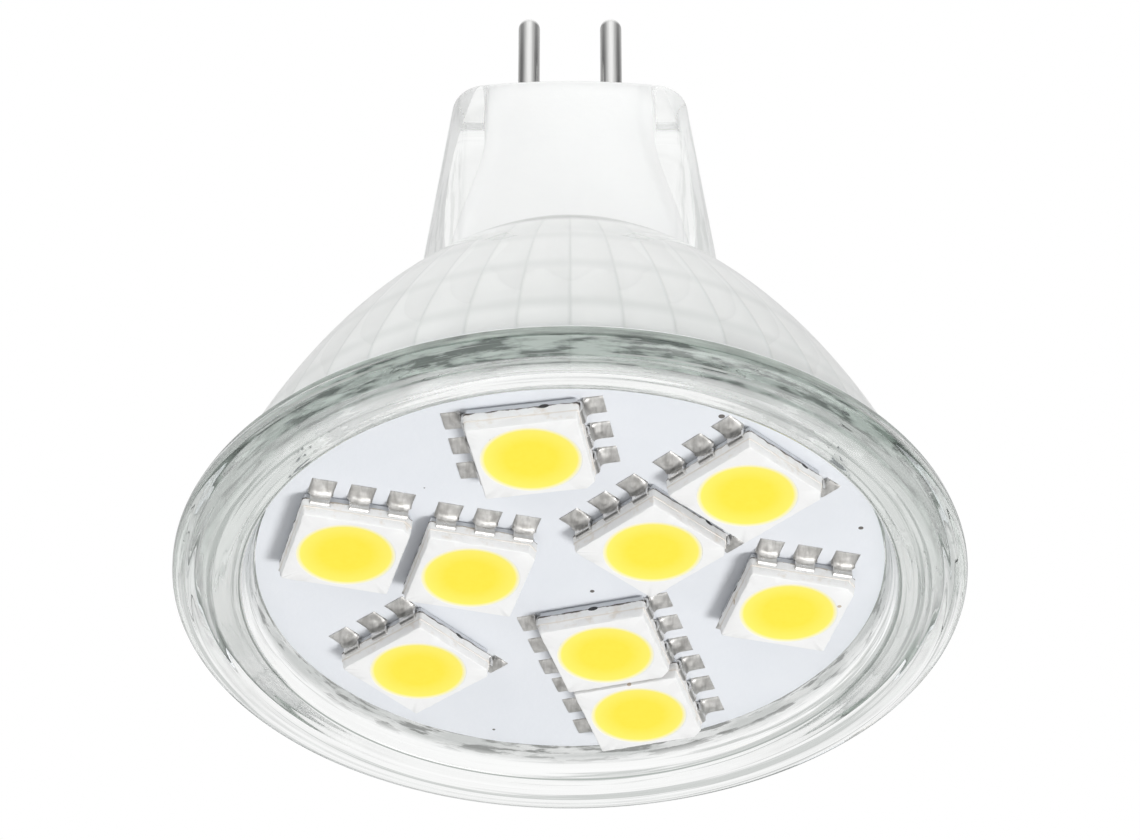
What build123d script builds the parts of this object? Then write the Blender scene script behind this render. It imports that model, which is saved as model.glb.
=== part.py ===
from build123d import *
import os
from math import atan, cos, degrees, radians, sin

# Low-voltage LED spotlight bulb: a pressed-glass reflector with a flat two-pin neck.
# Millimetres. The origin is the centre of the rim's front plane, +Z runs along the
# lamp's axis towards the pins, and the pins stand side by side along X.

os.makedirs("parts", exist_ok=True)

# LED packages: square housing, round cup, three bent leads on each of two sides
led_size = 5.0
led_height = 1.2
led_setback = 0.35  # LED front behind the rim's front plane
led_draft = 5.0  # slope of the housing's sides, degrees
led_corner = 0.55  # cut corner that marks the polarity
cup_rim = 0.35  # housing between the cup and its sides
cup_depth = 0.45
cup_slope = 0.2  # how much narrower the cup is at its floor
phosphor_dip = 0.05
lead_width = 0.9
lead_thick = 0.15
lead_edge = 0.3  # housing beyond the outermost lead
lead_foot = 0.7  # length tucked under the housing
lead_rise = 0.5  # where the leads leave the housing, above the board
lead_bite = 0.3  # length held inside the housing
leads_per_side = 3

# Tinned pads beside the leads, each with a wedge of solder rising to its lead
pad_width = 1.1
pad_length = 0.9
pad_thick = 0.08
solder_rise = 0.34
solder_foot = 0.4

# Where each LED sits on the board: radius in LED widths, bearing and turn of the housing
led_layout = [
    (1.92, 260, 260),
    (2.04, 195, 195),
    (0.9, 192, 195),
    (1.86, 138, 138),
    (0.92, 322, 315),
    (2.06, 318, 315),
    (1.98, 10, 15),
    (1.04, 72, 74),
    (2.05, 72, 74),
]

# Round LED board, let into the rim and resting on a ledge in the glass
board_r = 14.0
board_edge = 0.6  # least width of board outside an LED
board_thick = 1.0
board_gap = 0.05

# Rim of the glass, from the recess outwards
mouth_draft = 0.45
mouth_lip = 0.6
lip_rise = 0.15
rim_flat = 0.95
rim_bead = 1.6
rim_bead_z = 0.6
rim_back = 0.55
rim_back_z = 1.35
rim_step = 1.2  # from the widest line in to the start of the bowl

# Bowl and neck of the glass
bowl_start_z = 1.75
bowl_lean_rim = 21.0  # slope of the bowl to the axis at the rim, degrees
bowl_lean_neck = 47.0  # and at the shoulder
bowl_pull = 5.8  # length of the curve's end handles
shoulder_r = 7.4
shoulder_z = 16.0
shoulder_round = 1.2
glass_wall = 2.1
ledge_width = 0.85
facet_columns = 40
facet_rows = 4
neck_top_z = 27.8
neck_width_base = 13.9
neck_width_top = 11.0
neck_depth_base = 8.8
neck_depth_top = 8.0
neck_bulge = 0.5  # rise of the rounded front and back
neck_corner = 1.5
neck_top_round = 0.8

# White plug in the neck
plug_gap = 0.08
plug_side_base = 1.5  # glass beside the plug at its foot
plug_side_top = 1.65
plug_sweep = 0.35  # how far the flanks swell below and draw in above
plug_face = 0.75  # glass in front of and behind the plug
plug_corner = 1.2
plug_proud = 0.2
plug_wall = 0.9
plug_head = 3.2
plug_top_round = 0.3
plug_steps = 4  # even steps of the plug's swept flanks

# Contact pins
pin_d = 1.05
pin_pitch = 4.0
pin_exposed = 7.0
pin_tail_d = 0.7  # thinner where it is held in the plug
pin_tail = 3.4  # length inside the plug's hollow
pin_neck = 0.1  # length of the tail that shows above the plug
pin_gap = 0.02

# Driver board and what is soldered on it (X, Y, Z)
driver_thick = 0.8
driver_side_gap = 0.25
driver_top_gap = 0.4
chip_gap = 0.45
rectifier_size = (4.0, 1.4, 3.3)
rectifier_lead = (0.6, 0.3, 0.6)
rectifier_lead_pitch = 2.0
rectifier_chamfer = 0.15
capacitor_size = (3.2, 1.3, 1.6)
resistor_size = (2.0, 0.5, 1.25)
resistor_count = 3
end_cap = 0.45
end_cap_skin = 0.05
joint_width = 1.7
joint_depth = 0.5
joint_length = 1.8
joint_film = 0.1

# Lead wires from the driver board to the back of the LED board
wire_d = 0.9
wire_pitch = 3.6
wire_lap = 1.1  # length lying flat on the driver board
wire_land_x = 3.4
wire_land_y = 2.6
wire_drop_top = 2.4
wire_drop_low = 5.0
wire_bend = 4.0
blob_r = 1.0
blob_height = 0.9
blob_lip = 0.15

# Levels along the axis and radii that follow from the sizes above
led_half = led_size / 2
cup_r = led_half - cup_rim
lead_pitch = (led_size - 2 * lead_edge - lead_width) / (leads_per_side - 1)
led_ring_r = board_r - board_edge - led_half
board_front = led_setback + led_height
board_back = board_front + board_thick
recess_r = board_r + board_gap
mouth_r = recess_r + mouth_draft
flat_in = mouth_r + mouth_lip
flat_out = flat_in + rim_flat
rim_r = flat_out + rim_bead
bowl_start_r = rim_r - rim_step
plug_top_z = neck_top_z + plug_proud
hollow_top_z = plug_top_z - plug_head
pin_r = pin_d / 2
pin_tail_r = pin_tail_d / 2
pin_neck_z = plug_top_z + pin_neck
pin_tip_z = plug_top_z + pin_exposed
pin_tail_z = hollow_top_z - pin_tail
wire_r = wire_d / 2


def save(piece, name):
    """Label a finished piece and write it as its own STEP file."""
    piece.part.label = name
    export_step(piece.part, f"parts/{name}.step")


def blend(low, high, share):
    """The value a given share of the way from low to high."""
    return low + (high - low) * share


def barrel_plan(width, depth, bulge, corner, z):
    """A flat oval plan at height z: straight flanks, gently rounded front and back."""
    half_w = width / 2
    half_d = depth / 2
    flank_y = half_d - bulge
    with BuildSketch(Plane.XY.offset(z)) as plan:
        with BuildLine():
            Line((-half_w, -flank_y), (-half_w, flank_y))
            ThreePointArc((-half_w, flank_y), (0, half_d), (half_w, flank_y))
            Line((half_w, flank_y), (half_w, -flank_y))
            ThreePointArc((half_w, -flank_y), (0, -half_d), (-half_w, -flank_y))
        make_face()
        fillet(plan.vertices(), corner)
    return plan.sketch


# Glass reflector

# Outer line of the bowl, from behind the rim up to the shoulder
rim_lean = radians(bowl_lean_rim)
neck_lean = radians(bowl_lean_neck)
bowl_curve = Bezier(
    (bowl_start_r, bowl_start_z),
    (bowl_start_r - bowl_pull * sin(rim_lean), bowl_start_z + bowl_pull * cos(rim_lean)),
    (shoulder_r + bowl_pull * sin(neck_lean), shoulder_z - bowl_pull * cos(neck_lean)),
    (shoulder_r, shoulder_z),
)


def inner_ring(share):
    """Radius and height of the inner wall, one glass wall inside the bowl's line."""
    outside = bowl_curve @ share
    along = bowl_curve % share
    return outside.X - glass_wall * along.Y, outside.Y + glass_wall * along.X


# Corners of the faceted inner wall, from the board's ledge up to the neck
facet_rings = [(recess_r - ledge_width, board_back)]
facet_rings += [inner_ring((row + 1) / facet_rows) for row in range(facet_rows)]
neck_floor_z = facet_rings[-1][1]


def plug_plan(z, gap):
    """Width and depth of the plug at height z, grown by a gap on every side."""
    share = (z - neck_floor_z) / (plug_top_z - neck_floor_z)
    side = blend(plug_side_base, plug_side_top, share)
    sweep = plug_sweep * sin(radians(360 * share))
    width = blend(neck_width_base, neck_width_top, share) - 2 * side + 2 * sweep
    depth = blend(neck_depth_base, neck_depth_top, share) - 2 * plug_face
    return width + 2 * gap, depth + 2 * gap


def plug_sections(gap, top_z):
    """The plug's oval plans at even heights, from its foot to a given top."""
    sections = []
    for step in range(plug_steps + 1):
        z = blend(neck_floor_z, top_z, step / plug_steps)
        sections.append(barrel_plan(*plug_plan(z, gap), neck_bulge, plug_corner + gap, z))
    return sections


neck_sections = [
    barrel_plan(neck_width_base, neck_depth_base, neck_bulge, neck_corner, shoulder_z),
    barrel_plan(neck_width_top, neck_depth_top, neck_bulge, neck_corner, neck_top_z),
]
socket_sections = plug_sections(plug_gap, plug_top_z)

with BuildPart() as glass:
    # Rim, bowl and shoulder turned about the axis
    with BuildSketch(Plane.XZ):
        with BuildLine():
            Polyline(
                (0, board_back),
                (recess_r, board_back),
                (recess_r, board_front),
                (mouth_r, lip_rise),
                (flat_in, 0),
                (flat_out, 0),
            )
            EllipticalCenterArc((flat_out, rim_bead_z), rim_bead, rim_bead_z, 270)
            back_x = rim_r - rim_back
            EllipticalCenterArc((back_x, rim_bead_z), rim_back, rim_back_z - rim_bead_z)
            Line((back_x, rim_back_z), (bowl_start_r, bowl_start_z))
            add(bowl_curve)
            shoulder = JernArc(bowl_curve @ 1, bowl_curve % 1, shoulder_round, 90 - bowl_lean_neck)
            Polyline(shoulder @ 1, (0, (shoulder @ 1).Y), (0, board_back))
        make_face()
    revolve(axis=Axis.Z)
    # Flat tapered neck with a rounded top
    loft(neck_sections, ruled=True)
    fillet(glass.faces().sort_by(Axis.Z)[-1].edges(), neck_top_round)
    # Faceted inside of the bowl
    for ring_r, ring_z in facet_rings:
        with BuildSketch(Plane.XY.offset(ring_z)):
            RegularPolygon(ring_r, facet_columns)
    loft(ruled=True, mode=Mode.SUBTRACT)
    # Socket for the plug
    loft(socket_sections, mode=Mode.SUBTRACT)

save(glass, "glass_reflector")

# White plug: hollow, closed at the head, with a bore for each pin
plug_outer = plug_sections(0, plug_top_z)
plug_inner = plug_sections(-plug_wall, hollow_top_z)

with BuildPart() as plug:
    loft(plug_outer)
    fillet(plug.faces().sort_by(Axis.Z)[-1].edges(), plug_top_round)
    loft(plug_inner, mode=Mode.SUBTRACT)
    with BuildSketch(Plane.XY.offset(hollow_top_z)):
        with GridLocations(pin_pitch, 0, 2, 1):
            Circle(pin_tail_r + pin_gap)
    extrude(amount=plug_head, mode=Mode.SUBTRACT)

save(plug, "base_plug")

# Contact pins with rounded tips and a thinner tail
for side, name in ((-1, "contact_pin_left"), (1, "contact_pin_right")):
    pin_x = side * pin_pitch / 2
    with BuildPart() as pin:
        with BuildSketch(Plane.XZ):
            with BuildLine():
                Polyline(
                    (pin_x, pin_tip_z),
                    (pin_x, pin_tail_z),
                    (pin_x + pin_tail_r, pin_tail_z),
                    (pin_x + pin_tail_r, pin_neck_z),
                    (pin_x + pin_r, pin_neck_z),
                    (pin_x + pin_r, pin_tip_z - pin_r),
                )
                CenterArc((pin_x, pin_tip_z - pin_r), pin_r, 0, 90)
            make_face()
        revolve(axis=Axis((pin_x, 0, 0), (0, 0, 1)))
    save(pin, name)

# LED board
with BuildPart() as board:
    with BuildSketch(Plane.XY.offset(board_front)):
        Circle(board_r)
    extrude(amount=board_thick)

save(board, "led_board")


def led_seat(radius, bearing, turn):
    """Plane on the board's face under one LED: X radial, Z out of the face."""
    reach = radius * led_size
    angle = radians(bearing)
    spin = radians(turn)
    return Plane(
        origin=(reach * cos(angle), reach * sin(angle), board_front),
        x_dir=(cos(spin), sin(spin), 0),
        z_dir=(0, 0, -1),
    )


def side_plane(seat, side):
    """Upright plane through an LED: X points out past one leaded side, Y off the board."""
    return Plane(origin=seat.origin, x_dir=seat.y_dir * side, z_dir=seat.x_dir * side)


# LEDs, on each place that the board has room for: leads, housing and phosphor from one seat
lead_out = led_half + lead_thick
cup_taper = degrees(atan(cup_slope / cup_depth))
lead_steps = [(step - (leads_per_side - 1) / 2) * lead_pitch for step in range(leads_per_side)]
led_places = [place for place in led_layout if place[0] * led_size <= led_ring_r]
led_seats = [led_seat(*place) for place in led_places]

for number, seat in enumerate(led_seats, 1):
    with BuildPart() as leads:
        for side in (-1, 1):
            for step in lead_steps:
                with BuildSketch(side_plane(seat, side).offset(side * step)):
                    with BuildLine():
                        Polyline(
                            (led_half - lead_foot, 0),
                            (lead_out, 0),
                            (lead_out, lead_rise + lead_thick),
                            (led_half - lead_bite, lead_rise + lead_thick),
                            (led_half - lead_bite, lead_rise),
                            (led_half, lead_rise),
                            (led_half, lead_thick),
                            (led_half - lead_foot, lead_thick),
                            close=True,
                        )
                    make_face()
                extrude(amount=lead_width / 2, both=True)
    save(leads, f"led_leads_{number}")

    with BuildPart() as housing:
        with BuildSketch(seat.offset(lead_thick)) as foot:
            Rectangle(led_size, led_size)
            chamfer(foot.vertices().sort_by(Axis.X)[-1], led_corner)
        extrude(amount=led_height - lead_thick, taper=led_draft)
        with BuildSketch(seat.offset(led_height)):
            Circle(cup_r)
        extrude(amount=-cup_depth, taper=cup_taper, mode=Mode.SUBTRACT)
        add(leads.part, mode=Mode.SUBTRACT)
    save(housing, f"led_body_{number}")

    with BuildPart() as phosphor:
        with BuildSketch(side_plane(seat, 1)):
            with BuildLine():
                Polyline(
                    (0, led_height - phosphor_dip),
                    (0, led_height - cup_depth),
                    (cup_r - cup_slope, led_height - cup_depth),
                    (cup_r, led_height),
                )
                TangentArc((0, led_height - phosphor_dip), (cup_r, led_height), tangent=(1, 0))
            make_face()
        revolve(axis=Axis(seat.origin, seat.z_dir))
    save(phosphor, f"led_phosphor_{number}")

# Tinned pads with their solder wedges
with BuildPart() as pads:
    for seat in led_seats:
        for side in (-1, 1):
            for step in lead_steps:
                with BuildSketch(side_plane(seat, side).offset(side * step)):
                    with BuildLine():
                        Polyline(
                            (lead_out, solder_rise),
                            (lead_out, 0),
                            (lead_out + pad_length, 0),
                            (lead_out + pad_length, pad_thick),
                            (lead_out + solder_foot, pad_thick),
                            close=True,
                        )
                    make_face()
                extrude(amount=pad_width / 2, both=True)

save(pads, "solder_pads")

# Driver board: upright in the hollow, its face soldered to the pin tails
driver_face = pin_tail_r + joint_film
driver_back = driver_face + driver_thick
driver_width = plug_plan(hollow_top_z, -plug_wall)[0] - 2 * driver_side_gap
driver_top_z = hollow_top_z - driver_top_gap
rectifier_z = pin_tail_z - chip_gap - rectifier_size[2] / 2
capacitor_z = rectifier_z - rectifier_size[2] / 2 - chip_gap - capacitor_size[2] / 2
driver_foot_z = capacitor_z - capacitor_size[2] / 2 - chip_gap

with BuildPart() as driver:
    with BuildSketch(Plane.XZ.offset(-driver_face)):
        with Locations((0, (driver_top_z + driver_foot_z) / 2)):
            Rectangle(driver_width, driver_top_z - driver_foot_z)
    extrude(amount=-driver_thick)

save(driver, "driver_board")


def capped_chip(size, z, face_y, facing):
    """A chip lying on a board face at height z: body between two metal end caps."""
    long_x, high_y, wide_z = size
    centre_y = face_y + facing * high_y / 2
    cap_x = (long_x - end_cap) / 2
    with BuildPart() as piece:
        with Locations((0, centre_y, z)):
            Box(long_x - 2 * end_cap, high_y - 2 * end_cap_skin, wide_z - 2 * end_cap_skin)
        with Locations((-cap_x, centre_y, z), (cap_x, centre_y, z)):
            Box(end_cap, high_y, wide_z)
    return piece


# Bridge rectifier with four flat leads, on the pin side of the driver board
rectifier_y = driver_face - rectifier_size[1] / 2
lead_x = (rectifier_size[0] + rectifier_lead[0]) / 2
lead_y = driver_face - rectifier_lead[1] / 2
lead_dz = rectifier_lead_pitch / 2

with BuildPart() as rectifier:
    with Locations((0, rectifier_y, rectifier_z)):
        Box(*rectifier_size)
    chamfer(rectifier.edges().filter_by(Axis.Z).group_by(Axis.Y)[0], rectifier_chamfer)
    with Locations(*[(sx * lead_x, lead_y, rectifier_z + sz * lead_dz) for sx in (-1, 1) for sz in (-1, 1)]):
        Box(*rectifier_lead)

save(rectifier, "bridge_rectifier")

# Smoothing capacitor below the rectifier
save(capped_chip(capacitor_size, capacitor_z, driver_face, -1), "smoothing_capacitor")

# Ballast resistors in a column on the other face, one for each string of LEDs
resistor_step = resistor_size[2] + chip_gap
resistor_top_z = driver_top_z - chip_gap - resistor_size[2] / 2

with BuildPart() as resistors:
    for index in range(resistor_count):
        chip = capped_chip(resistor_size, resistor_top_z - index * resistor_step, driver_back, 1)
        add(chip.part)

save(resistors, "ballast_resistors")

# Solder joints that hold the driver board on the pin tails
with BuildPart() as pin_joints:
    joint_y = driver_face - joint_depth / 2
    with Locations((0, joint_y, pin_tail_z + joint_length / 2)):
        with GridLocations(pin_pitch, 0, 2, 1):
            Box(joint_width, joint_depth, joint_length)
    with BuildSketch(Plane.XY.offset(pin_tail_z)):
        with GridLocations(pin_pitch, 0, 2, 1):
            Circle(pin_tail_r)
    extrude(amount=joint_length, mode=Mode.SUBTRACT)

save(pin_joints, "pin_solder")

# Lead wires: flat on the driver board, then down to the back of the LED board
wire_y = driver_back + wire_r
wire_turns = (driver_foot_z - wire_drop_top, board_back + wire_drop_low)

with BuildPart() as wire_blobs:
    with Locations((-wire_land_x, wire_land_y, board_back), (wire_land_x, wire_land_y, board_back)):
        Cone(blob_r, wire_r + blob_lip, blob_height, align=(Align.CENTER, Align.CENTER, Align.MIN))
        Cylinder(
            wire_r,
            blob_height,
            align=(Align.CENTER, Align.CENTER, Align.MIN),
            mode=Mode.SUBTRACT,
        )

save(wire_blobs, "wire_solder")

for side, name in ((-1, "lead_wire_negative"), (1, "lead_wire_positive")):
    top_x = side * wire_pitch / 2
    land_x = side * wire_land_x
    with BuildPart() as wire:
        with BuildLine() as route:
            FilletPolyline(
                (top_x, wire_y, driver_foot_z + wire_lap),
                (top_x, wire_y, wire_turns[0]),
                (land_x, wire_land_y, wire_turns[1]),
                (land_x, wire_land_y, board_back),
                radius=wire_bend,
            )
        with BuildSketch(Plane(origin=route.line @ 0, z_dir=route.line % 0)):
            Circle(wire_r)
        sweep()
    save(wire, name)
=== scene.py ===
# %% [markdown]
# # A two-pin spotlight bulb
# The lamp is a clear pressed-glass reflector. A round white board with nine square LEDs is let
# into its rim, and a white plug with two steel pins closes its flat neck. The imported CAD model
# is the frame: this lesson keeps its places and sizes, and gives each visible piece the soft
# edges and the surface that the real one has.

# %% Load the frame
from math import atan2, cos, hypot, pi, radians, sin, sqrt

import bmesh
import bpy
import numpy as np
from mathutils import Matrix, Vector


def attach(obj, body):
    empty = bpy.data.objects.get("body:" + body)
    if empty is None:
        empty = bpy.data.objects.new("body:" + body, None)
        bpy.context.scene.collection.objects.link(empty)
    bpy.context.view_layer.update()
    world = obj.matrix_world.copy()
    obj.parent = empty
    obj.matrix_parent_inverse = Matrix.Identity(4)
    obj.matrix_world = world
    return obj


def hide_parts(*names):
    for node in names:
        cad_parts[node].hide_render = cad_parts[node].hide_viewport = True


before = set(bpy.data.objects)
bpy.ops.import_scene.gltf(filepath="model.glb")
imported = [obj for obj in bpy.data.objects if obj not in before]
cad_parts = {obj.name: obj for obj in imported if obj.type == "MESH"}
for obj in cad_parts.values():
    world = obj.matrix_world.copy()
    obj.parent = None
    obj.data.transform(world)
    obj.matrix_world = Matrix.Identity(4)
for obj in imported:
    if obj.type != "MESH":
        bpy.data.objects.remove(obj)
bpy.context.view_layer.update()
MM = 0.001

# %% [markdown]
# ## Working by hand, in code
# Every piece starts from a primitive that is shaped in edit mode. Most pieces of a lamp are
# rings: a turned rim, an oval neck, a square housing with a round cup. So one helper starts from
# a circle, extrudes it, and sets each new ring where the shape needs it.

# %% Small helpers
def fresh():
    """Leave edit mode with nothing selected, so an operator acts on the new piece alone."""
    if bpy.context.mode != "OBJECT":
        bpy.ops.object.mode_set(mode="OBJECT")
    bpy.ops.object.select_all(action="DESELECT")


def pick(*pieces):
    """Select only these pieces, with the first one active."""
    fresh()
    for piece in pieces:
        piece.select_set(True)
    bpy.context.view_layer.objects.active = pieces[0]


def smooth(piece, angle):
    """Shade a piece smooth, and keep the edges sharper than an angle."""
    pick(piece)
    bpy.ops.object.shade_smooth_by_angle(angle=radians(angle))


def blend(low, high, share):
    """The value a given share of the way from low to high."""
    return low + (high - low) * share


def even_angles(count):
    """Angles evenly round a circle."""
    return np.array([2 * pi * index / count for index in range(count)])


def polar_ring(radii, z, angles):
    """Points of a ring from a radius for each angle."""
    return [(r * cos(a), r * sin(a), z) for r, a in zip(radii, angles)]


def round_ring(r, z, angles, x=0.0):
    """Points of a circle about an upright axis at x."""
    return [(x + r * cos(a), r * sin(a), z) for a in angles]


# %% A shell of rings
def place_ring(piece, ring):
    """Move the selected vertices to the points of one ring, in millimetres."""
    mesh = bmesh.from_edit_mesh(piece.data)
    order = mesh.verts.layers.int["ring_order"]
    for vertex in mesh.verts:
        if vertex.select:
            vertex.co = Vector(ring[vertex[order]]) * MM
    bmesh.update_edit_mesh(piece.data)


def ring_shell(name, rings, capped=False, loop=False):
    """Extrude a circle ring by ring; cap both ends, or join the last ring to the first."""
    fresh()
    bpy.ops.mesh.primitive_circle_add(vertices=len(rings[0]), radius=10 * MM)
    piece = bpy.context.object
    piece.name = name
    piece.data.name = name
    bpy.ops.object.mode_set(mode="EDIT")
    bpy.ops.mesh.select_mode(type="VERT")
    mesh = bmesh.from_edit_mesh(piece.data)
    order = mesh.verts.layers.int.new("ring_order")
    mesh.verts.ensure_lookup_table()
    for index, vertex in enumerate(mesh.verts):
        vertex[order] = index
    bpy.ops.mesh.select_all(action="SELECT")
    place_ring(piece, rings[0])
    if capped:
        bpy.ops.mesh.edge_face_add()
        mesh = bmesh.from_edit_mesh(piece.data)
        for face in mesh.faces:
            face.select = False
        for edge in mesh.edges:
            edge.select = True
        bmesh.update_edit_mesh(piece.data)
    for ring in rings[1:]:
        bpy.ops.mesh.extrude_edges_move()
        place_ring(piece, ring)
    if capped:
        bpy.ops.mesh.edge_face_add()
    if loop:
        bpy.ops.mesh.select_all(action="DESELECT")
        bpy.ops.mesh.select_mode(type="EDGE")
        bpy.ops.mesh.select_non_manifold()
        bpy.ops.mesh.bridge_edge_loops()
    bpy.ops.mesh.select_mode(type="VERT")
    bpy.ops.mesh.select_all(action="SELECT")
    bpy.ops.mesh.normals_make_consistent(inside=False)
    bpy.ops.object.mode_set(mode="OBJECT")
    print(name, "rings", len(rings), "faces", len(piece.data.polygons))
    return piece


# %% [markdown]
# ## The camera
# The photograph looks up at the lamp from below its rim, with a long lens. The place and the
# lens were found from the ellipses of the rim and the LEDs. The lamp stands on its rim at z = 0,
# so the camera is under the floor, and the floor is see-through from its underside.

# %% Camera
LENS, SENSOR, NEAREST = 140.309, 36, 0.01
CAMERA_PLACE, CAMERA_LIFT = (0, -0.159213, -0.116184), 38.39947
camera_data = bpy.data.cameras.new("photo_camera")
camera_data.lens = LENS
camera_data.sensor_width = SENSOR
camera_data.clip_start = NEAREST
camera = bpy.data.objects.new("photo_camera", camera_data)
camera.location = CAMERA_PLACE
camera.rotation_euler = (radians(90 + CAMERA_LIFT), 0, 0)
bpy.context.collection.objects.link(camera)
bpy.context.scene.camera = camera
bpy.context.scene.view_settings.view_transform = "Standard"
print("camera", CAMERA_PLACE, "lens", LENS)

# %% [markdown]
# ## Nodes, in few words
# A finish is a tree of nodes. These helpers add a node and link it in one line: a calculation, a
# range stretched to another, a mix of colours, and colours laid over each other like coats of
# paint, each through its own mask.

# %% Node helpers
def node(tree, kind, **settings):
    """Add a node and set its properties by name."""
    made = tree.nodes.new(kind)
    for name, value in settings.items():
        setattr(made, name, value)
    return made


def feed(tree, value, socket):
    """Link an output to a socket, or write a plain value in it."""
    if isinstance(value, bpy.types.NodeSocket):
        tree.links.new(value, socket)
    else:
        socket.default_value = value


def calc(tree, operation, *operands):
    """Add a Math node; each operand is a socket or a number."""
    made = node(tree, "ShaderNodeMath", operation=operation)
    for operand, socket in zip(operands, made.inputs):
        feed(tree, operand, socket)
    return made.outputs[0]


def vector_calc(tree, operation, vector, other):
    """Add a Vector Math node for a vector and another one."""
    made = node(tree, "ShaderNodeVectorMath", operation=operation)
    feed(tree, vector, made.inputs[0])
    feed(tree, other, made.inputs[1])
    return made.outputs["Value" if operation == "DOT_PRODUCT" else "Vector"]


def all_of(tree, *masks):
    """Multiply masks, which leaves their common ground."""
    made = masks[0]
    for mask in masks[1:]:
        made = calc(tree, "MULTIPLY", made, mask)
    return made


def off(tree, value, middle):
    """How far a value is from a middle one, either way."""
    return calc(tree, "ABSOLUTE", calc(tree, "SUBTRACT", value, middle))


def axes(tree, vector):
    """The X, Y and Z of a vector."""
    made = node(tree, "ShaderNodeSeparateXYZ")
    tree.links.new(vector, made.inputs[0])
    return list(made.outputs)


def remap(tree, value, low, high, to_low=0.0, to_high=1.0):
    """Stretch a range of values to another, held at its ends."""
    made = node(tree, "ShaderNodeMapRange", clamp=True)
    tree.links.new(value, made.inputs["Value"])
    made.inputs["From Min"].default_value = low
    made.inputs["From Max"].default_value = high
    made.inputs["To Min"].default_value = to_low
    made.inputs["To Max"].default_value = to_high
    return made.outputs["Result"]


# %% Colour helpers
def mix_colour(tree, share, first, second):
    """Mix two colours; each is a socket or a written colour."""
    made = node(tree, "ShaderNodeMix", data_type="RGBA")
    tree.links.new(share, made.inputs["Factor"])
    for name, colour in (("A", first), ("B", second)):
        socket = [item for item in made.inputs if item.name == name and item.type == "RGBA"][0]
        feed(tree, (*colour, 1) if isinstance(colour, tuple) else colour, socket)
    return [item for item in made.outputs if item.type == "RGBA"][0]


def layered(tree, colour, *layers):
    """Lay colours over a first one, each through its own mask."""
    for mask, over in layers:
        colour = mix_colour(tree, mask, colour, over)
    return colour


def mix_shader(tree, share, first, second):
    """Mix two shaders by a mask."""
    made = node(tree, "ShaderNodeMixShader")
    for value, socket in zip((share, first, second), made.inputs):
        tree.links.new(value, socket)
    return made.outputs[0]


# %% [markdown]
# ## Node groups for finishes
# Three effects come back in many finishes: fine specks of dirt, a slow change of tone, and a
# grain drawn out along one direction. Each is a node group with named inputs, built once.

# %% Node groups
def start_group(name, result, **inputs):
    """A node group with inputs at their usual values; returns it, its inputs and its result."""
    group = bpy.data.node_groups.new(name, "ShaderNodeTree")
    for label, value in {"Vector": (0, 0, 0), **inputs}.items():
        kind = "NodeSocketVector" if isinstance(value, tuple) else "NodeSocketFloat"
        socket = group.interface.new_socket(name=label, in_out="INPUT", socket_type=kind)
        socket.default_value = value
    group.interface.new_socket(name=result, in_out="OUTPUT", socket_type="NodeSocketFloat")
    given = node(group, "NodeGroupInput").outputs
    return group, given, node(group, "NodeGroupOutput").inputs[result]


# Specks: some cells of a cell pattern hold a dot, each of its own size
specks_group, given, result = start_group("Specks", "Mask", Scale=900.0, Share=0.1, Radius=0.12)
cells = node(specks_group, "ShaderNodeTexVoronoi", feature="F1")
feed(specks_group, given["Vector"], cells.inputs["Vector"])
feed(specks_group, given["Scale"], cells.inputs["Scale"])
draw = node(specks_group, "ShaderNodeSeparateColor")
feed(specks_group, cells.outputs["Color"], draw.inputs["Color"])
chosen = calc(specks_group, "LESS_THAN", draw.outputs["Red"], given["Share"])
size = calc(specks_group, "MULTIPLY", given["Radius"], draw.outputs["Green"])
near = calc(specks_group, "LESS_THAN", cells.outputs["Distance"], size)
feed(specks_group, all_of(specks_group, chosen, near), result)

# Mottling: a soft cloud, with its usual range stretched to 0 to 1
mottle_group, given, result = start_group("Mottling", "Value", Scale=300.0)
cloud = node(mottle_group, "ShaderNodeTexNoise")
cloud.inputs["Detail"].default_value = 4
cloud.inputs["Roughness"].default_value = 0.6
feed(mottle_group, given["Vector"], cloud.inputs["Vector"])
feed(mottle_group, given["Scale"], cloud.inputs["Scale"])
feed(mottle_group, remap(mottle_group, cloud.outputs["Fac"], 0.3, 0.7), result)

# Drawn grain: a cloud squeezed across the direction in which the metal was drawn
grain_group, given, result = start_group("Drawn grain", "Value", Stretch=(9000, 9000, 300))
fibres = node(grain_group, "ShaderNodeTexNoise")
fibres.inputs["Scale"].default_value = 1
fibres.inputs["Detail"].default_value = 3
stretched = vector_calc(grain_group, "MULTIPLY", given["Vector"], given["Stretch"])
feed(grain_group, stretched, fibres.inputs["Vector"])
feed(grain_group, fibres.outputs["Fac"], result)
print("node groups", [group.name for group in bpy.data.node_groups])


# %% Material helpers
def finish(name, colour, roughness, metallic=0.0):
    """A new Principled material; returns it with its tree, shader and Object coordinates."""
    material = bpy.data.materials.new(name)
    material.use_nodes = True
    tree = material.node_tree
    shader = tree.nodes["Principled BSDF"]
    shader.inputs["Base Color"].default_value = (*colour, 1)
    shader.inputs["Roughness"].default_value = roughness
    shader.inputs["Metallic"].default_value = metallic
    coordinates = node(tree, "ShaderNodeTexCoord").outputs["Object"]
    print("finish", name)
    return material, tree, shader, coordinates


def use_group(tree, group, vector, **values):
    """Place a node group, feed its vector and set its other inputs."""
    made = node(tree, "ShaderNodeGroup", node_tree=group)
    tree.links.new(vector, made.inputs["Vector"])
    for name, value in values.items():
        made.inputs[name].default_value = value
    return made.outputs[0]


def mottling(tree, vector, scale=1.0):
    """The mottling group at one scale."""
    return use_group(tree, mottle_group, vector, Scale=scale)


def two_tone(tree, vector, scale, dark, light):
    """A colour that wanders between two tones."""
    return mix_colour(tree, mottling(tree, vector, scale), dark, light)


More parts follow.
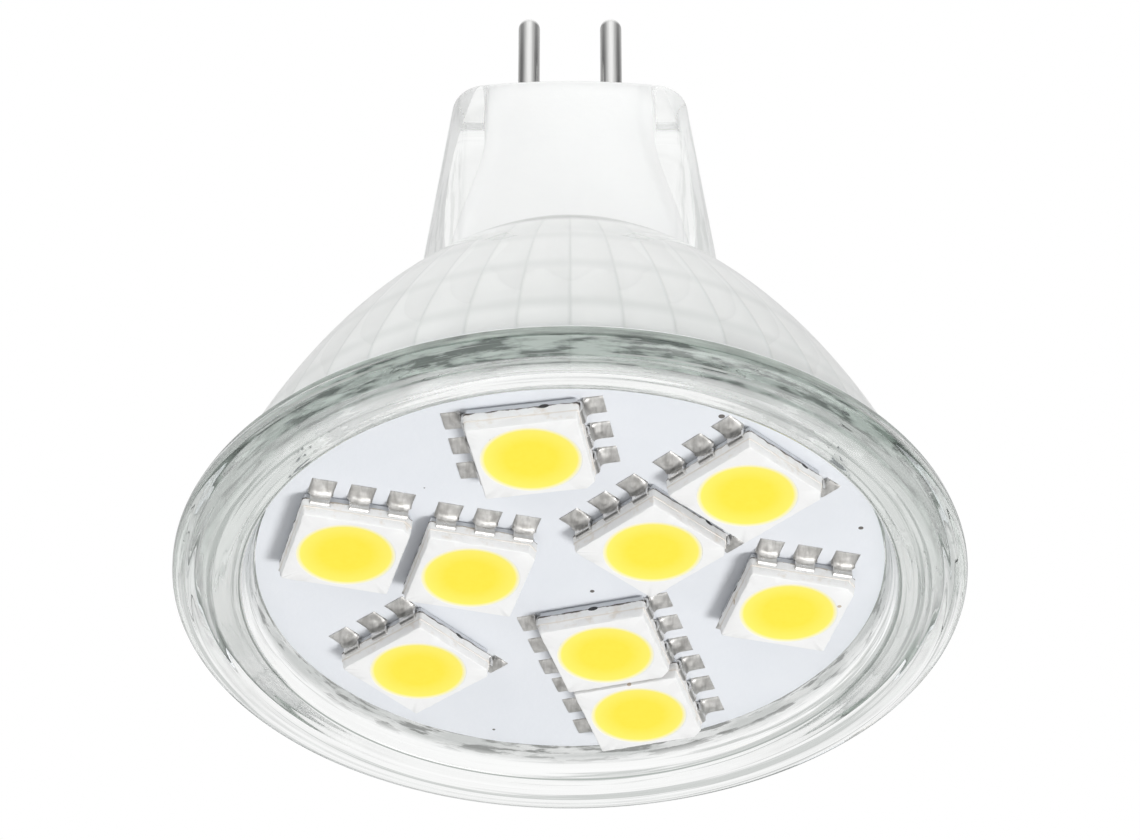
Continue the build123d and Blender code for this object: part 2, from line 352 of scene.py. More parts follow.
def paint(tree, shader, colour):
    """Link a colour to a shader's Base Color."""
    tree.links.new(colour, shader.inputs["Base Color"])


def add_bump(tree, shader, height, strength, distance):
    """Bump a shader's normal by a height, in metres."""
    bump = node(tree, "ShaderNodeBump")
    bump.inputs["Strength"].default_value = strength
    bump.inputs["Distance"].default_value = distance
    tree.links.new(height, bump.inputs["Height"])
    tree.links.new(bump.outputs["Normal"], shader.inputs["Normal"])


def wear(piece, material):
    """Give a piece one material."""
    piece.data.materials.clear()
    piece.data.materials.append(material)


# %% [markdown]
# ## Sizes from the CAD model
# The pieces below are modelled over their CAD nodes, so they take the same sizes: the board and
# the LED seats, the line of the glass, the oval of the neck and the swept flanks of the plug.

# %% Sizes, in millimetres
LED_SIZE, LED_HEIGHT, LED_SETBACK = 5.0, 1.2, 0.35
BOARD_R, BOARD_THICK = 14.0, 1.0
BOARD_FRONT = LED_SETBACK + LED_HEIGHT
BOARD_BACK = BOARD_FRONT + BOARD_THICK
RECESS_R = BOARD_R + 0.05
MOUTH_R, LIP_Z = 14.5, 0.15
FLAT_IN, FLAT_OUT = 15.1, 16.05
RIM_R, BEAD_Z = 17.65, 0.6
RIM_BACK_R, RIM_BACK_Z = 17.1, 1.35
BOWL_START = (16.45, 1.75)
SHOULDER = (7.4, 16.0)
BOWL_PULL = 5.8
RIM_LEAN, NECK_LEAN = radians(21), radians(47)
GLASS_WALL, LEDGE = 2.1, 0.85
FACET_COLUMNS, FACET_ROWS = 40, 4
NECK_TOP = 27.8
NECK_BASE_PLAN, NECK_TOP_PLAN = (13.9, 8.8), (11.0, 8.0)
NECK_BULGE, NECK_CORNER, NECK_ROUND = 0.5, 1.5, 0.8
PLUG_TOP, PLUG_CORNER = 28.0, 1.2
PLUG_SIDE_BASE, PLUG_SIDE_TOP, PLUG_SWEEP, PLUG_FACE = 1.5, 1.65, 0.35, 0.75
PLUG_WALL, PLUG_HOLLOW_TOP = 0.9, 24.8
print("board from", BOARD_FRONT, "to", BOARD_BACK)


# %% Lines of the bowl
def bowl_point(share):
    """Radius and height on the outer line of the bowl, a cubic curve."""
    p0, p3 = BOWL_START, SHOULDER
    p1 = (p0[0] - BOWL_PULL * sin(RIM_LEAN), p0[1] + BOWL_PULL * cos(RIM_LEAN))
    p2 = (p3[0] + BOWL_PULL * sin(NECK_LEAN), p3[1] - BOWL_PULL * cos(NECK_LEAN))
    rest = 1 - share
    weights = (rest**3, 3 * rest**2 * share, 3 * rest * share**2, share**3)
    return tuple(sum(w * p[axis] for w, p in zip(weights, (p0, p1, p2, p3))) for axis in (0, 1))


def inner_point(share):
    """Radius and height of the inner wall, one glass wall inside the bowl's line."""
    step = 1e-4
    before = bowl_point(max(share - step, 0))
    after = bowl_point(min(share + step, 1))
    along = (after[0] - before[0], after[1] - before[1])
    length = hypot(*along)
    here = bowl_point(share)
    return (here[0] - GLASS_WALL * along[1] / length, here[1] + GLASS_WALL * along[0] / length)


FACET_RINGS = [(RECESS_R - LEDGE, BOARD_BACK)]
FACET_RINGS += [inner_point((row + 1) / FACET_ROWS) for row in range(FACET_ROWS)]
NECK_FLOOR = FACET_RINGS[-1][1]
print("facet rings", [(round(r, 2), round(z, 2)) for r, z in FACET_RINGS])


# %% Plans of the neck and the plug
def oval_radius(width, depth, bulge, corner, angles):
    """Distance from the axis to a flat oval with rounded corners, along each angle."""
    half_w, half_d = width / 2 - corner, depth / 2
    face_r = ((width / 2) ** 2 + bulge**2) / (2 * bulge)
    face_y = half_d - face_r
    inset_r = face_r - corner
    knee_y = face_y + sqrt(inset_r**2 - half_w**2)
    across, along = np.abs(np.cos(angles)), np.abs(np.sin(angles))
    low, high = np.zeros(len(angles)), np.full(len(angles), width + depth)
    for _ in range(40):
        middle = (low + high) / 2
        x, y = middle * across, middle * along
        reach = np.hypot(x, y - face_y)
        foot_x = x / reach * inset_r
        gap = np.where(
            y <= knee_y,
            x - half_w,
            np.where(foot_x <= half_w, reach - inset_r, np.hypot(x - half_w, y - knee_y)),
        )
        out = gap > corner
        high = np.where(out, middle, high)
        low = np.where(out, low, middle)
    return (low + high) / 2


def plug_plan(z, gap):
    """Width and depth of the plug at height z, grown by a gap on every side."""
    share = (z - NECK_FLOOR) / (PLUG_TOP - NECK_FLOOR)
    side = blend(PLUG_SIDE_BASE, PLUG_SIDE_TOP, share)
    sweep = PLUG_SWEEP * sin(2 * pi * share)
    width = blend(NECK_BASE_PLAN[0], NECK_TOP_PLAN[0], share) - 2 * side + 2 * sweep
    depth = blend(NECK_BASE_PLAN[1], NECK_TOP_PLAN[1], share) - 2 * PLUG_FACE
    return width + 2 * gap, depth + 2 * gap


def neck_plan(z):
    """Width and depth of the glass neck at height z."""
    share = (z - SHOULDER[1]) / (NECK_TOP - SHOULDER[1])
    return tuple(blend(base, top, share) for base, top in zip(NECK_BASE_PLAN, NECK_TOP_PLAN))


print("plug at its top", plug_plan(PLUG_TOP, 0), "neck at its top", neck_plan(NECK_TOP))

# %% [markdown]
# ## The glass reflector
# The real piece is one pressing: a rolled rim with a recess for the board, a bowl that is smooth
# outside and faceted inside, and a flat neck. Clear glass shows every wall twice, so it has to be
# one closed skin with no loose faces. The skin is a loop of rings: up the outside, over the neck,
# down the socket, down the facets and back to the ledge under the board.

# %% Line of the rim
AROUND = 320
angles = even_angles(AROUND)


def arc_points(centre, radii, start, end, count):
    """Points on an elliptical arc, without its first one."""
    steps = [radians(blend(start, end, (index + 1) / count)) for index in range(count)]
    return [(centre[0] + radii[0] * cos(a), centre[1] + radii[1] * sin(a)) for a in steps]


BEAD_STEPS, BACK_STEPS = 20, 12
rim_line = [
    (RECESS_R, BOARD_BACK),
    (RECESS_R, blend(BOARD_BACK, BOARD_FRONT, 0.5)),
    (RECESS_R, BOARD_FRONT),
    (blend(RECESS_R, MOUTH_R, 0.4), blend(BOARD_FRONT, LIP_Z, 0.4)),
    (blend(RECESS_R, MOUTH_R, 0.8), blend(BOARD_FRONT, LIP_Z, 0.8)),
    (MOUTH_R - 0.02, LIP_Z + 0.12),
    (MOUTH_R + 0.04, LIP_Z - 0.03),
    (MOUTH_R + 0.2, 0.06),
    (FLAT_IN - 0.15, 0.015),
    (FLAT_IN, 0),
    (FLAT_OUT, 0),
]
rim_line += arc_points((FLAT_OUT, BEAD_Z), (RIM_R - FLAT_OUT, BEAD_Z), 270, 360, BEAD_STEPS)
back_radii = (RIM_R - RIM_BACK_R, RIM_BACK_Z - BEAD_Z)
rim_line += arc_points((RIM_BACK_R, BEAD_Z), back_radii, 0, 90, BACK_STEPS)
rim_line += [
    (blend(RIM_BACK_R, BOWL_START[0], 0.35), blend(RIM_BACK_Z, BOWL_START[1], 0.22)),
    (blend(RIM_BACK_R, BOWL_START[0], 0.75), blend(RIM_BACK_Z, BOWL_START[1], 0.6)),
]
print("points on the rim's line", len(rim_line))

# %% [markdown]
# A mould never leaves glass quite even. Shallow ripples run round the rim and wander slowly, and
# they break what the glass mirrors into streaks. They only sink into the skin, so the rim keeps
# its size, and they fade out where the board sits and where the bowl begins.

# %% Ripples of the rim
RIPPLE_DEPTH, RIPPLE_GAP = 0.016, 0.09
BROAD_LENGTH, BROAD_SHARE, BROAD_WANDER = 0.72, 0.6, (0.12, 2, 0.6)
FINE_LENGTH, FINE_SHARE, FINE_WANDER = 0.41, 0.4, (0.14, 3, 2.1)
BOARD_FADE, BOWL_FADE = 4, 8


def finer(line, gap):
    """The same line with points no further apart than a gap."""
    made = [line[0]]
    for (r0, z0), (r1, z1) in zip(line, line[1:]):
        cuts = max(1, int(np.ceil(hypot(r1 - r0, z1 - z0) / gap)))
        for cut in range(1, cuts + 1):
            made.append((blend(r0, r1, cut / cuts), blend(z0, z1, cut / cuts)))
    return made


def wave(run, length, wander):
    """A wave along the line, which wanders by an amount, so many times, from a start."""
    amount, times, start = wander
    return np.sin(2 * pi * (run / length + amount * np.sin(times * angles + start)))


def rippled(line):
    """Rings of the rim, sunk a few hundredths by ripples that wander slowly round it."""
    made, run = [], 0.0
    for index, (r, z) in enumerate(line):
        before, after = line[max(index - 1, 0)], line[min(index + 1, len(line) - 1)]
        step = (after[0] - before[0], after[1] - before[1])
        length = hypot(*step)
        run += length / 2
        if r < FLAT_IN:
            ends = min(1, max(0, BOARD_FRONT - z) * BOARD_FADE)
        else:
            ends = min(1, (len(line) - 1 - index) / BOWL_FADE)
        broad = wave(run, BROAD_LENGTH, BROAD_WANDER)
        fine = wave(run, FINE_LENGTH, FINE_WANDER)
        depth = RIPPLE_DEPTH * ends * (1 + BROAD_SHARE * broad + FINE_SHARE * fine)
        radii = r - depth * step[1] / length
        heights = z + depth * step[0] / length
        made.append([(a * cos(t), a * sin(t), b) for a, b, t in zip(radii, heights, angles)])
    return made


glass_rings = rippled(finer(rim_line, RIPPLE_GAP))
print("rings of the rim", len(glass_rings))

# %% Bowl, shoulder and neck
BOWL_STEPS, SHOULDER_STEPS, NECK_STEPS, ROUND_STEPS = 22, 4, 8, 6
SHOULDER_RISE, FILLET_OUT, FILLET_UP = 0.32, 0.14, 0.2


def neck_radii(z, inset=0.0):
    """Radii of the neck's oval at height z, drawn in by an inset."""
    width, depth = neck_plan(z)
    corner = NECK_CORNER - inset
    return oval_radius(width - 2 * inset, depth - 2 * inset, NECK_BULGE, corner, angles)


for step in range(BOWL_STEPS + 1):
    glass_rings.append(round_ring(*bowl_point(step / BOWL_STEPS), angles))

# The shoulder goes from the round bowl over to the flat neck, with a soft fillet
foot_z = SHOULDER[1] + SHOULDER_RISE
neck_foot = neck_radii(foot_z)
for step in range(1, SHOULDER_STEPS + 1):
    share = step / SHOULDER_STEPS
    radii = blend(np.full(AROUND, SHOULDER[0]), neck_foot + FILLET_OUT, share)
    z = SHOULDER[1] + SHOULDER_RISE * sin(share * pi / 2)
    glass_rings.append(polar_ring(radii, z, angles))
for step in range(1, SHOULDER_STEPS + 1):
    turn = step / SHOULDER_STEPS * pi / 2
    z = foot_z + FILLET_UP * (1 - cos(turn))
    glass_rings.append(polar_ring(neck_radii(z) + FILLET_OUT * (1 - sin(turn)), z, angles))

# The neck ends in a rounded top
neck_start = foot_z + FILLET_UP
for step in range(1, NECK_STEPS + 1):
    z = blend(neck_start, NECK_TOP - NECK_ROUND, step / NECK_STEPS)
    glass_rings.append(polar_ring(neck_radii(z), z, angles))
for step in range(1, ROUND_STEPS + 1):
    turn = step / ROUND_STEPS * pi / 2
    z = NECK_TOP - NECK_ROUND * (1 - sin(turn))
    glass_rings.append(polar_ring(neck_radii(z, NECK_ROUND * (1 - cos(turn))), z, angles))
print("rings outside", len(glass_rings))

# %% [markdown]
# Inside, the socket follows the plug and lies two hundredths of a millimetre inside its skin, as
# cement would have it, so no film of air shows between them. Below it the wall is fluted: each
# column is a little full in the middle, which is what breaks the light into flutes.

# %% Rings of the inside, and the skin
SOCKET_STEPS, FACET_STEPS, PILLOW, PILLOW_FOOT = 16, 6, 0.08, 0.8
CEMENT = -0.02
for step in range(SOCKET_STEPS + 1):
    z = blend(NECK_TOP, NECK_FLOOR, step / SOCKET_STEPS)
    plan = oval_radius(*plug_plan(z, CEMENT), NECK_BULGE, PLUG_CORNER + CEMENT, angles)
    glass_rings.append(polar_ring(plan, z, angles))

column = 2 * pi / FACET_COLUMNS
phase = np.mod(angles, column) / column
polygon = np.cos(column / 2) / np.cos((phase - 0.5) * column)
fullness = 1 - (2 * phase - 1) ** 2
ring_r, ring_z = zip(*FACET_RINGS)
inner_line = np.polyfit(ring_z, ring_r, FACET_ROWS)


def facet_ring(row, share):
    """One ring across a row of facets, counted from the board upwards."""
    z = blend(FACET_RINGS[row][1], FACET_RINGS[row + 1][1], share)
    crown = PILLOW_FOOT + (1 - PILLOW_FOOT) * (1 - (2 * share - 1) ** 2)
    swell = PILLOW * fullness * crown
    return polar_ring(np.polyval(inner_line, z) * polygon - swell, z, angles)


for row in reversed(range(FACET_ROWS)):
    for step in reversed(range(FACET_STEPS + 1)):
        if step == FACET_STEPS and row < FACET_ROWS - 1:
            continue
        glass_rings.append(facet_ring(row, step / FACET_STEPS))

glass = ring_shell("glass", glass_rings, loop=True)

# %% Sharp creases between the flutes
GLASS_CREASE = 32
facet_start = len(glass_rings) - FACET_ROWS * FACET_STEPS - 1
per_column = AROUND // FACET_COLUMNS
smooth(glass, GLASS_CREASE)
bpy.ops.object.mode_set(mode="EDIT")
bpy.ops.mesh.select_all(action="DESELECT")
mesh = bmesh.from_edit_mesh(glass.data)
order = mesh.verts.layers.int["ring_order"]
for edge in mesh.edges:
    if min(vertex.index // AROUND for vertex in edge.verts) < facet_start:
        continue
    first, second = (vertex[order] for vertex in edge.verts)
    edge.select = first == second and first % per_column == 0
bmesh.update_edit_mesh(glass.data)
bpy.ops.mesh.mark_sharp()
bpy.ops.object.mode_set(mode="OBJECT")
print("first ring of the flutes", facet_start)

# %% [markdown]
# ## What glass looks like
# Pressed glass is clear with a breath of green, seen where the light runs far inside it. Lamp
# light goes straight through, so that the glass doesn't throw a solid shadow, and a ray that has
# bounced often enough goes straight on. The ripples bend what is seen through the rim. What light
# loses inside a thick rim is more than a few bounces can show, so painted shade stands in for it:
# dark tints on the bead, lines round the rim and the lip, a glue strip that is partly painted
# shade, dark edges where the glass is seen at a glance, a shoulder line and streaks on the neck.

# %% Glass helper
GLASS_IOR, DEEPEST_RAY = 1.5, 5
DEPTH_TINT, DEPTH_DENSITY, CLEAR_TINT = (0.84, 0.87, 0.85), 18.0, (0.98, 0.985, 0.98)


def make_glass(tree, shader, transmission):
    """Make a finish glass: it lets lamp light and deep rays through, and tints long paths."""
    shader.inputs["Transmission Weight"].default_value = transmission
    shader.inputs["IOR"].default_value = GLASS_IOR
    depth_tint = node(tree, "ShaderNodeVolumeAbsorption")
    depth_tint.inputs["Color"].default_value = (*DEPTH_TINT, 1)
    depth_tint.inputs["Density"].default_value = DEPTH_DENSITY
    light_path = node(tree, "ShaderNodeLightPath")
    clear = node(tree, "ShaderNodeBsdfTransparent")
    clear.inputs["Color"].default_value = (*CLEAR_TINT, 1)
    deep_ray = calc(tree, "GREATER_THAN", light_path.outputs["Ray Depth"], DEEPEST_RAY)
    passes = calc(tree, "MAXIMUM", light_path.outputs["Is Shadow Ray"], deep_ray)
    surface = tree.nodes["Material Output"]
    skin = mix_shader(tree, passes, shader.outputs[0], clear.outputs[0])
    tree.links.new(skin, surface.inputs["Surface"])
    tree.links.new(depth_tint.outputs[0], surface.inputs["Volume"])


# %% Clear glass: where each tint and each painted shade lies
PLAIN_GLASS = (0.99, 0.995, 0.99)
# Each zone fades in between two heights or two radii, in metres
RIM_ZONE, BEAD_SIDE = (0.0022, 0.0016), (0.01595, 0.01615)
BEAD_FOOT, BEAD_HEAD = (0.000002, 0.00003), (0.0007, 0.0006)
MOUTH_SIDE, GLUE_SHADE_HEAD, FRONT_EDGE = (0.01455, 0.01450), (0.0007, 0.0011), (0.0011, 0.0008)
LIP_R, LIP_SHADE_FADE = 0.01466, (0.00005, 0.00002)
SHOULDER_FOOT, SHOULDER_HEAD, NECK_FOOT = (0.0140, 0.0148), (0.0163, 0.0162), (0.0163, 0.0168)
PLUG_SIDE = (0.0048, 0.0052)
glass_finish, tree, shader, coordinates = finish("clear_glass", PLAIN_GLASS, 0.015)
make_glass(tree, shader, 1.0)
place_x, place_y, place_z = axes(tree, coordinates)
squares = [calc(tree, "MULTIPLY", axis, axis) for axis in (place_x, place_y)]
radius = calc(tree, "SQRT", calc(tree, "ADD", *squares))
on_rim = remap(tree, place_z, *RIM_ZONE)
bead_heights = [remap(tree, place_z, *zone) for zone in (BEAD_FOOT, BEAD_HEAD)]
bead_zone = all_of(tree, remap(tree, radius, *BEAD_SIDE), *bead_heights)
in_mouth = remap(tree, radius, *MOUTH_SIDE)
# Glue residue and painted shade: a strip of the mouth wall beside the board.
glue_and_shade_strip = all_of(tree, remap(tree, place_z, *GLUE_SHADE_HEAD), in_mouth, on_rim)
edge_zone = calc(tree, "MAXIMUM", remap(tree, place_z, *FRONT_EDGE), in_mouth)
# Painted shade: a thin dark ring round the lip of the mouth.
lip_shade_line = all_of(tree, remap(tree, off(tree, radius, LIP_R), *LIP_SHADE_FADE), on_rim)
shoulder = all_of(tree, *[remap(tree, place_z, *zone) for zone in (SHOULDER_FOOT, SHOULDER_HEAD)])
beside_plug = remap(tree, calc(tree, "ABSOLUTE", place_x), *PLUG_SIDE)
on_neck = all_of(tree, beside_plug, remap(tree, place_z, *NECK_FOOT))


# %% Clear glass: painted shade and tints
def rim_pattern(length, fineness):
    """Mottling drawn out round the rim, with a given length and fineness across."""
    spot = node(tree, "ShaderNodeCombineXYZ")
    for axis, socket in ((place_x, "X"), (place_y, "Y")):
        unit = calc(tree, "DIVIDE", axis, radius)
        tree.links.new(calc(tree, "MULTIPLY", unit, length), spot.inputs[socket])
    outward = calc(tree, "ADD", radius, place_z)
    tree.links.new(calc(tree, "MULTIPLY", outward, fineness), spot.inputs["Z"])
    return mottling(tree, spot.outputs[0])


layer_weight = node(tree, "ShaderNodeLayerWeight")
layer_weight.inputs["Blend"].default_value = 0.5
facing = layer_weight.outputs["Facing"]
# Painted shade on the bead: a dark tint in mottled blotches, strongest where the bead faces the
# viewer.
bead_shade_blotches = remap(tree, rim_pattern(8.0, 2400.0), 0.33, 0.66)
bead_painted_shade = all_of(tree, bead_zone, remap(tree, facing, 0.55, 0.25))
# Painted shade: thin grey lines drawn out round the rim.
rim_shade_lines = all_of(tree, remap(tree, rim_pattern(0.7, 3300.0), 0.46, 0.3), on_rim)
glue_and_shade = all_of(tree, glue_and_shade_strip, remap(tree, rim_pattern(4.0, 3000.0), 0.25, 0.6, 0.6, 0.95))
# Painted shade: darker dashes along that strip.
shade_dashes = all_of(tree, glue_and_shade_strip, remap(tree, rim_pattern(7.0, 6500.0), 0.5, 0.72))
# Painted shade: the rim and mouth darken where the glass is seen at a glance.
glancing_shade = all_of(tree, remap(tree, facing, 0.62, 0.9), edge_zone, on_rim)
# Painted shade: a dark line along the shoulder where it is seen at a glance.
shoulder_shade = all_of(tree, remap(tree, facing, 0.79, 0.89), shoulder)
# Painted shade: grey streaks drawn out up the sides of the neck.
drawn_out = vector_calc(tree, "MULTIPLY", coordinates, (2600, 2600, 55))
neck_shade_streaks = remap(tree, mottling(tree, drawn_out), 0.54, 0.3, 0.0, 0.8)
from_inside = node(tree, "ShaderNodeNewGeometry").outputs["Backfacing"]
outside = layered(
    tree,
    PLAIN_GLASS,
    (bead_painted_shade, mix_colour(tree, bead_shade_blotches, (0.03, 0.04, 0.035), (0.30, 0.37, 0.33))),
    (rim_shade_lines, (0.42, 0.445, 0.43)),
    (lip_shade_line, (0.18, 0.21, 0.19)),
    (glue_and_shade, (0.36, 0.38, 0.37)),
    (shade_dashes, (0.10, 0.105, 0.10)),
    (glancing_shade, (0.16, 0.18, 0.17)),
    (shoulder_shade, (0.06, 0.062, 0.05)),
    (all_of(tree, neck_shade_streaks, on_neck), (0.70, 0.715, 0.705)),
    (from_inside, PLAIN_GLASS),
)
paint(tree, shader, outside)
wear(glass, glass_finish)
print("clear glass nodes", len(tree.nodes))

# %% [markdown]
# The facets are satin: the press leaves them matt, and they scatter most of the light. So this
# finish lets little light through. One side of each flute is painted a shade darker, and lines of
# painted shade lie along each crease and between the rows.

# %% Frosted facets
ROW_SHADE_FADE, PLAIN_HEAD = (0.0006, 0.0001), (0.0142, 0.0152)
facet_finish, tree, shader, coordinates = finish("frosted_facets", (0.97, 0.975, 0.97), 0.3)
make_glass(tree, shader, 0.16)
place_x, place_y, place_z = axes(tree, coordinates)
bearing = calc(tree, "ARCTAN2", place_y, place_x)
across_flute = calc(tree, "FRACT", calc(tree, "MULTIPLY", bearing, FACET_COLUMNS / (2 * pi)))
# Painted shade: one side of each flute, each crease and each line between the rows is darker.
crease_shade = remap(tree, off(tree, across_flute, 0.5), 0.44, 0.5, 0.0, 0.7)
flute_shade_layers = [
    (remap(tree, across_flute, 0.3, 1.0, 0.0, 0.5), (0.83, 0.84, 0.835)),
    (crease_shade, (0.72, 0.74, 0.73)),
]
for row_z in ring_z[1:-1]:
    off_row = off(tree, place_z, row_z * MM)
    flute_shade_layers.append((remap(tree, off_row, *ROW_SHADE_FADE, 0.0, 0.45), (0.74, 0.76, 0.75)))
flute_shade_layers.append((remap(tree, place_z, *PLAIN_HEAD), (0.975, 0.98, 0.975)))
satin = two_tone(tree, coordinates, 450.0, (0.95, 0.955, 0.95), (0.985, 0.99, 0.985))
paint(tree, shader, layered(tree, satin, *flute_shade_layers))
glass.data.materials.append(facet_finish)
for face in glass.data.polygons:
    if min(corner // AROUND for corner in face.vertices) >= facet_start:
        face.material_index = 1
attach(glass, "root")
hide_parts("glass_reflector")
print("frosted faces", sum(face.material_index for face in glass.data.polygons))

# %% [markdown]
# ## The white plug
# A matt white moulding fills the neck. Its flanks swell near the foot and draw in near the head.
# It is a cap: closed at the top, hollow below for the driver board, with a bore for each pin.
# The rings run down the hollow, round its foot and up the outside, and a boolean cuts the bores.

# %% Plug
PLUG_AROUND, PLUG_STEPS, PLUG_ROUND, PLUG_ROUND_STEPS = 160, 20, 0.3, 5
plug_angles = even_angles(PLUG_AROUND)


def plug_ring(plan_z, gap, corner, z):
    """One oval ring at height z, with the plug's plan of another height grown by a gap."""
    plan = oval_radius(*plug_plan(plan_z, gap), NECK_BULGE, corner, plug_angles)
    return polar_ring(plan, z, plug_angles)


plug_rings = []
for step in range(PLUG_STEPS + 1):
    z = blend(PLUG_HOLLOW_TOP, NECK_FLOOR, step / PLUG_STEPS)
    plug_rings.append(plug_ring(z, -PLUG_WALL, PLUG_CORNER - PLUG_WALL, z))
for step in range(PLUG_STEPS + 1):
    z = blend(NECK_FLOOR, PLUG_TOP - PLUG_ROUND, step / PLUG_STEPS)
    plug_rings.append(plug_ring(z, 0, PLUG_CORNER, z))
for step in range(1, PLUG_ROUND_STEPS + 1):
    turn = step / PLUG_ROUND_STEPS * pi / 2
    inset = PLUG_ROUND * (1 - cos(turn))
    z = PLUG_TOP - PLUG_ROUND * (1 - sin(turn))
    plug_rings.append(plug_ring(PLUG_TOP, -inset, PLUG_CORNER - inset, z))
plug = ring_shell("plug", plug_rings, capped=True)

# %% Bores for the pin tails
PIN_PITCH, PIN_R, PIN_TAIL_R, PIN_NECK, PIN_EXPOSED = 4.0, 0.525, 0.35, 0.1, 7.0
PIN_TAIL_Z = PLUG_HOLLOW_TOP - 3.4
PIN_TIP_Z = PLUG_TOP + PIN_EXPOSED
BORE_GAP, BORE_DEPTH, BORE_DROP = 0.02, 5, 1.5
for side in (-1, 1):
    fresh()
    bpy.ops.mesh.primitive_cylinder_add(
        vertices=32,
        radius=(PIN_TAIL_R + BORE_GAP) * MM,
        depth=BORE_DEPTH * MM,
        location=(side * PIN_PITCH / 2 * MM, 0, (PLUG_TOP - BORE_DROP) * MM),
    )
    bore = bpy.context.object
    pick(plug)
    cut = plug.modifiers.new("bore", "BOOLEAN")
    cut.operation = "DIFFERENCE"
    cut.solver = "EXACT"
    cut.object = bore
    bpy.ops.object.modifier_apply(modifier="bore")
    bpy.data.objects.remove(bore)
smooth(plug, 40)
print("plug faces with bores", len(plug.data.polygons))

# %% Plug finish
plug_finish, tree, shader, coordinates = finish("white_plug", (0.94, 0.94, 0.94), 0.55)
clean = two_tone(tree, coordinates, 260.0, (0.93, 0.93, 0.935), (0.955, 0.955, 0.955))
dirt = use_group(tree, specks_group, coordinates, Scale=420.0, Share=0.035, Radius=0.1)
paint(tree, shader, mix_colour(tree, dirt, clean, (0.25, 0.25, 0.26)))
add_bump(tree, shader, mottling(tree, coordinates, 2600.0), 0.25, 0.00003)
wear(plug, plug_finish)
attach(plug, "root")
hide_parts("base_plug")

# %% [markdown]
# ## The contact pins
# Drawn steel with a rounded tip. A thin band of grain runs along the pin, and its gloss wanders a
# little. A pin is a turned shape, so it is a stack of rings on its own axis.

# %% Pin finish
pin_finish, tree, shader, coordinates = finish("pin_steel", (0.86, 0.86, 0.85), 0.2, 1.0)
grain = use_group(tree, grain_group, coordinates, Stretch=(9000, 9000, 500))
dull = mottling(tree, coordinates, 900.0)
paint(tree, shader, mix_colour(tree, grain, (0.80, 0.80, 0.79), (0.93, 0.93, 0.92)))
tree.links.new(remap(tree, dull, 0, 1, 0.16, 0.26), shader.inputs["Roughness"])
add_bump(tree, shader, grain, 0.15, 0.00004)

# %% Pins
PIN_AROUND, PIN_EDGE, TAIL_EDGE, TIP_STEPS, TIP_FLAT = 40, 0.04, 0.05, 8, 0.06
pin_angles = even_angles(PIN_AROUND)
pin_foot = PLUG_TOP + PIN_NECK
pin_line = [
    (PIN_TAIL_R - TAIL_EDGE, PIN_TAIL_Z),
    (PIN_TAIL_R, PIN_TAIL_Z + TAIL_EDGE),
    (PIN_TAIL_R, pin_foot),
    (PIN_R - PIN_EDGE, pin_foot),
    (PIN_R, pin_foot + PIN_EDGE),
    (PIN_R, blend(PLUG_TOP, PIN_TIP_Z, 0.5)),
]
for step in range(TIP_STEPS):
    turn = step / TIP_STEPS * pi / 2
    pin_line.append((PIN_R * cos(turn), PIN_TIP_Z - PIN_R + PIN_R * sin(turn)))
pin_line.append((PIN_R * TIP_FLAT, PIN_TIP_Z))
for side, name in ((-1, "left"), (1, "right")):
    pin_rings = [round_ring(r, z, pin_angles, side * PIN_PITCH / 2) for r, z in pin_line]
    pin = ring_shell(f"pin_{name}", pin_rings, capped=True)
    smooth(pin, 40)
    wear(pin, pin_finish)
    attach(pin, "root")
    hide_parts(f"contact_pin_{name}")

# %% [markdown]
# ## The LEDs
# Each LED is a square white housing with a round cup of yellow phosphor, on six bent leads. One
# LED is modelled at the origin, with its foot on z = 0, and copied to the nine seats. A seat is
# a distance from the middle in LED widths, a bearing, and the way the LED is turned.

# %% Seats
LED_LAYOUT = [
    (1.92, 260, 260),
    (2.04, 195, 195),
    (0.9, 192, 195),
    (1.86, 138, 138),
    (0.92, 322, 315),
    (2.06, 318, 315),
    (1.98, 10, 15),
    (1.04, 72, 74),
    (2.05, 72, 74),
]


def seat_matrix(distance, bearing, turn):
    """From an LED's own frame to its seat: X radial, Z out of the board's face."""
    reach = distance * LED_SIZE
    bearing, turn = radians(bearing), radians(turn)
    x_axis = Vector((cos(turn), sin(turn), 0))
    y_axis = Vector((sin(turn), -cos(turn), 0))
    matrix = Matrix((x_axis, y_axis, Vector((0, 0, -1)))).transposed().to_4x4()
    matrix.translation = Vector((reach * cos(bearing), reach * sin(bearing), BOARD_FRONT)) * MM
    return matrix


def copy_at(model, name, matrix):
    """A copy with its own mesh, put in place in the mesh."""
    mesh = model.data.copy()
    mesh.transform(matrix)
    mesh.name = name
    piece = bpy.data.objects.new(name, mesh)
    bpy.context.collection.objects.link(piece)
    return piece


print("seats", len(LED_LAYOUT))

# %% [markdown]
# The housing is moulded in two halves, so its sides lean in a little and carry a ragged parting
# line. It stands on a narrower plinth, and one corner is cut to mark the polarity. The square
# rings go over into round ones at the cup, point for point.

# %% Outline of the housing
LED_FOOT, DRAFT, HOUSING_EDGE, CORNER_ROUND, CORNER_CUT = 0.33, 0.05, 0.1, 0.1, 0.4
PLINTH_Z, PLINTH_INSET, PLINTH_EDGE = 0.05, 0.09, 0.03
CUP_R, CUP_FLOOR_R, CUP_DEPTH, CUP_LIP = 2.2, 2.0, 0.45, 0.004
SIDE_POINTS, PARTING_Z, PARTING_STEP, ROUGH_EDGE = 17, 0.76, 0.02, 0.014
half = LED_SIZE / 2


